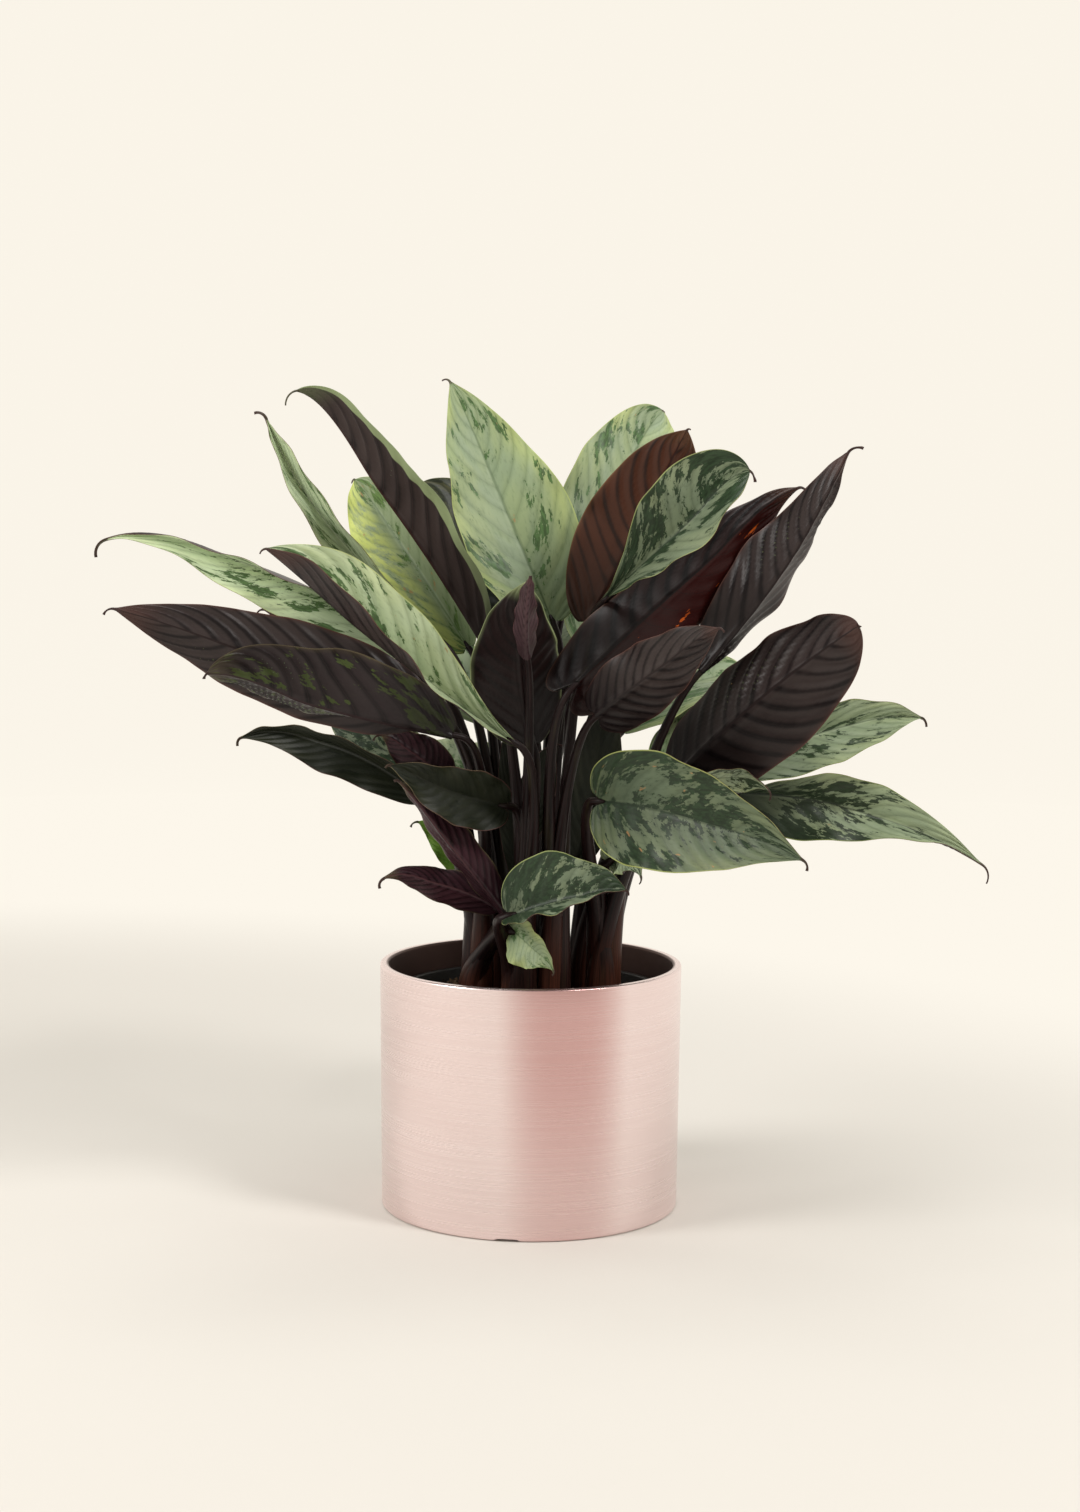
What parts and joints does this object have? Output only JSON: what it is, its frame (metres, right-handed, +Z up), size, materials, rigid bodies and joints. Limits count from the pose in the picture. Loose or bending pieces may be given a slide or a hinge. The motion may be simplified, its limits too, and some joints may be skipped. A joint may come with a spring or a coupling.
{
  "type": "potted apoballis",
  "caption": "Leafy house plant in a plain round metal planter: long waved blades, silvery green above and dark plum below, on upright stalks in soil.",
  "frame": {"origin": "centre of the planter's underside, on the surface it stands on", "axes": "+Z up along the planter's axis, -Y towards the front of the plant"},
  "size_m": [0.6126, 0.4155, 0.5734],
  "materials": {
    "planter": "satin, finely brushed round the body",
    "grower_pot": "matt",
    "soil": "rough, loose crumbs",
    "stalk": "semi-matt plum brown",
    "blade": "semi-matt, silvery green above with darker flecks, dark plum below"
  },
  "bodies": {
    "root": {"grower_pot": "grower_pot", "leaf_arch_left": "blade", "leaf_back_far_left": "blade", "leaf_back_far_right": "blade", "leaf_back_high_right": "blade", "leaf_back_left": "blade", "leaf_back_low": "blade", "leaf_back_low_left": "blade", "leaf_back_low_right": "blade", "leaf_back_middle": "blade", "leaf_back_right": "blade", "leaf_back_top": "blade", "leaf_behind_left": "blade", "leaf_burgundy": "blade", "leaf_camo_far_right": "blade", "leaf_camo_right": "blade", "leaf_copper": "blade", "leaf_crown": "blade", "leaf_dark_front_right": "blade", "leaf_dark_left": "blade", "leaf_dark_right": "blade", "leaf_drooping_right": "blade", "leaf_folded_left": "blade", "leaf_front_right": "blade", "leaf_hanging_plum": "blade", "leaf_hook_low": "blade", "leaf_hook_right": "blade", "leaf_inner_green": "blade", "leaf_inner_left": "blade", "leaf_inner_right": "blade", "leaf_lime_left": "blade", "leaf_lime_low": "blade", "leaf_low_front": "blade", "leaf_low_tip": "blade", "leaf_olive_left": "blade", "leaf_patched_left": "blade", "leaf_plum_left": "blade", "leaf_red_channel": "blade", "leaf_shade_back": "blade", "leaf_shade_low": "blade", "leaf_silver_left": "blade", "leaf_small_low_right": "blade", "leaf_small_right": "blade", "leaf_spear": "blade", "leaf_top_right": "blade", "leaf_tucked_left": "blade", "leaf_twisted_left": "blade", "planter": "planter", "shoot_back": "stalk", "shoot_centre": "stalk", "shoot_far_left": "stalk", "shoot_front": "stalk", "shoot_left": "stalk", "shoot_middle": "stalk", "shoot_right": "stalk", "shoot_right_back": "stalk", "soil": "soil"}
  },
  "joints": []
}
